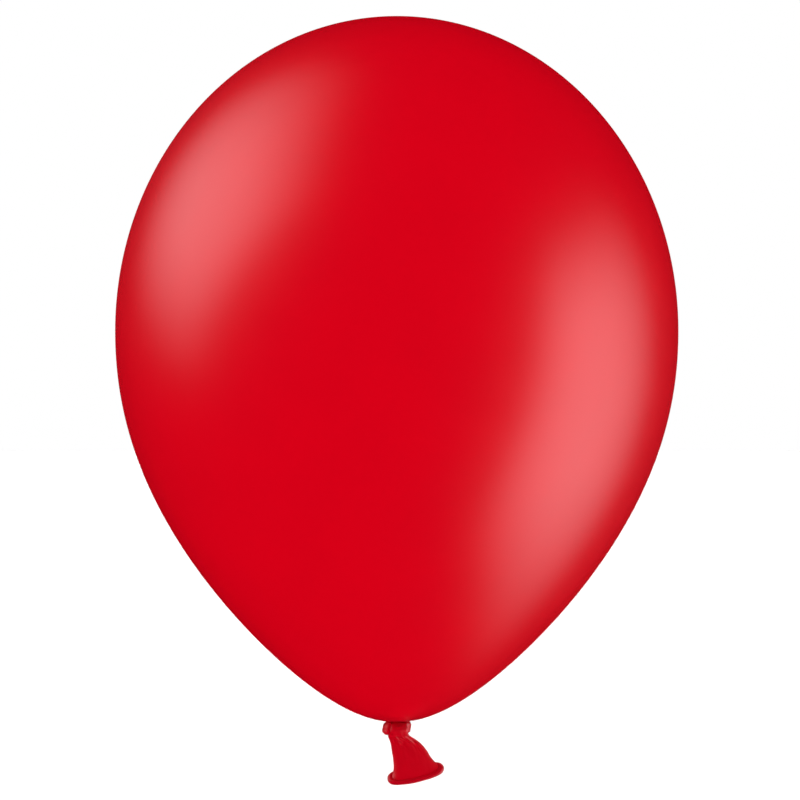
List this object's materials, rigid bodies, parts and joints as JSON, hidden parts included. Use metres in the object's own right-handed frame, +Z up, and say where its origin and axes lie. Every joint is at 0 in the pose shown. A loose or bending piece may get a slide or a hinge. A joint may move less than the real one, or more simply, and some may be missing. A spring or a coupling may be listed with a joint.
{
  "type": "latex balloon",
  "caption": "Inflated round latex balloon, tied with an overhand knot, with a flattened tail that flares to a rolled lip.",
  "frame": {"origin": "neck crease, where the film is gathered into the knot and a ribbon is tied", "axes": "+Z up the balloon's axis to the crown, +X to the side that the tail leans to, -Y to the front"},
  "size_m": [0.28, 0.28, 0.3823],
  "materials": {
    "latex_film": "satin, stretched thin",
    "latex_neck": "satin, gathered and thick",
    "latex_tail": "satin, unstretched",
    "latex_lip": "satin, rolled"
  },
  "bodies": {
    "envelope": {"envelope": "latex_film"},
    "knot": {"neck_gather": "latex_neck", "knot_core": "latex_neck", "knot_wrap": "latex_neck", "knot_over": "latex_neck"},
    "tail_root": {"tail_root": "latex_tail"},
    "tail": {"tail_skirt": "latex_tail", "lip_bead": "latex_lip"}
  },
  "joints": [
    {"name": "neck_twist", "type": "hinge", "parent": "envelope", "child": "knot", "pos_m": [0, 0, 0], "axis": [0, 0, 1], "range_deg": [-90, 90], "stiffness_Nm_per_rad": 0.0015},
    {"name": "tail_fold", "type": "hinge", "parent": "knot", "child": "tail_root", "pos_m": [0, 0, -0.0088], "axis": [1, 0, 0], "range_deg": [-60, 60], "stiffness_Nm_per_rad": 0.0012, "deforming": ["tail_root"]},
    {"name": "tail_swing", "type": "hinge", "parent": "tail_root", "child": "tail", "pos_m": [0.004, 0, -0.0125], "axis": [0, 1, 0], "range_deg": [-30, 30], "stiffness_Nm_per_rad": 0.0012, "deforming": ["tail_root"]}
  ]
}
